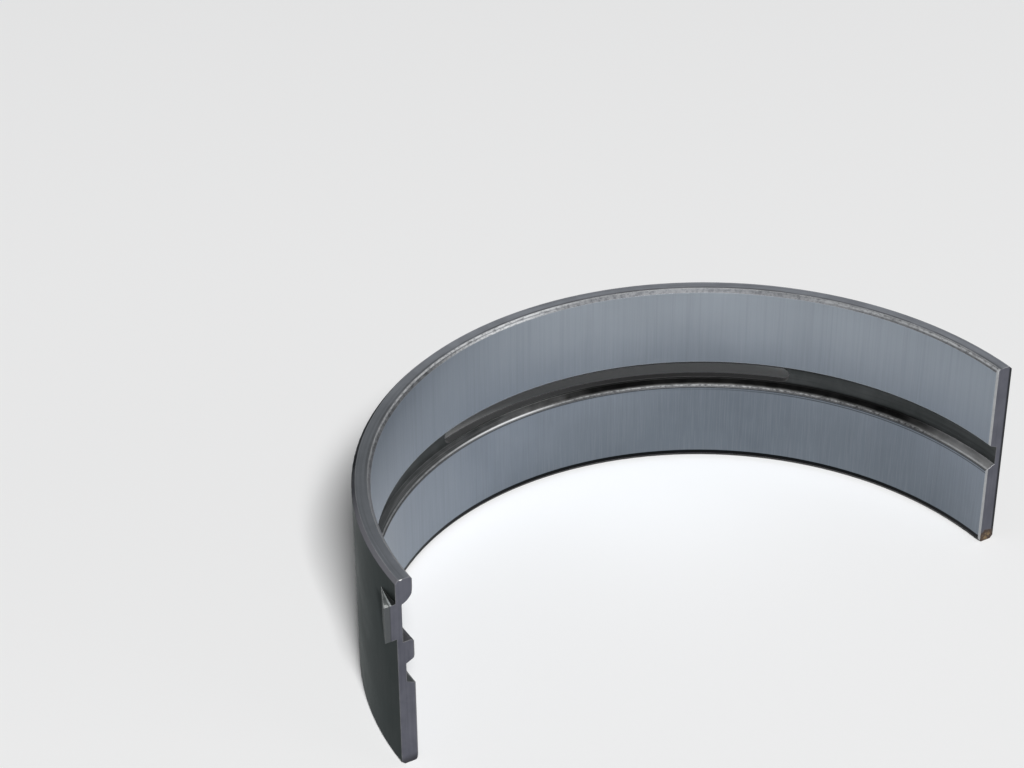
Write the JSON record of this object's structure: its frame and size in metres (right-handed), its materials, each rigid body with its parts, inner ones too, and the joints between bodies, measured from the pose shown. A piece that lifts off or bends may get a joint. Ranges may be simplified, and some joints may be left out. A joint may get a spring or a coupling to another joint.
{
  "type": "engine bearing shell",
  "caption": "Thin half-round main bearing shell with an oil groove, a long oil slot and a pressed locating tang; it lines a housing bore and carries a turning journal.",
  "frame": {"origin": "on the bore axis, at the middle of the shell's width", "axes": "+Z along the bore axis, +Y through the crown, +X towards the end without the tang; the shell stands on its lower side face"},
  "size_m": [0.0856, 0.0421, 0.0254],
  "materials": {
    "shell": "satin fine-bored lining, darker plain steel back"
  },
  "bodies": {
    "root": {"bearing_shell": "shell"}
  },
  "joints": []
}
